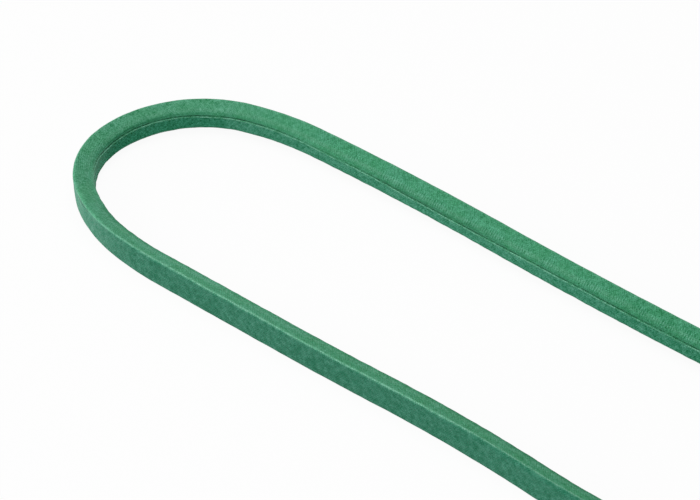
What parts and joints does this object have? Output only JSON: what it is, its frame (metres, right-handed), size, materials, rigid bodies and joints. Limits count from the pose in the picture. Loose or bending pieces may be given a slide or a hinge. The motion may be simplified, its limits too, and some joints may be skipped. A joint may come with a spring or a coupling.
{
  "type": "v belt",
  "caption": "Endless wrapped V belt with aramid cords, relaxed and lying on its side: rubber core with a wound cord layer under two plies of green cover fabric.",
  "frame": {"origin": "centre of the loop, on the plane that the belt lies on", "axes": "+X along the runs, +Y across the loop, +Z across the width of the back face"},
  "size_m": [0.5302, 0.1086, 0.0119],
  "materials": {
    "outer_cover": "dry rubberised fabric, worn paler along the corners",
    "inner_cover": "rubber filled fabric",
    "tension_rubber": "matt moulded rubber",
    "cushion_gum": "soft adhesion gum",
    "tensile_cord": "twisted aramid yarn",
    "compression_rubber": "fibre loaded rubber"
  },
  "bodies": {
    "root": {"outer_cover_ply": "outer_cover", "inner_cover_ply": "inner_cover", "top_rubber": "tension_rubber", "upper_cushion_gum": "cushion_gum", "s_twist_tensile_cord": "tensile_cord", "z_twist_tensile_cord": "tensile_cord", "lower_cushion_gum": "cushion_gum", "compression_rubber": "compression_rubber"}
  },
  "joints": []
}
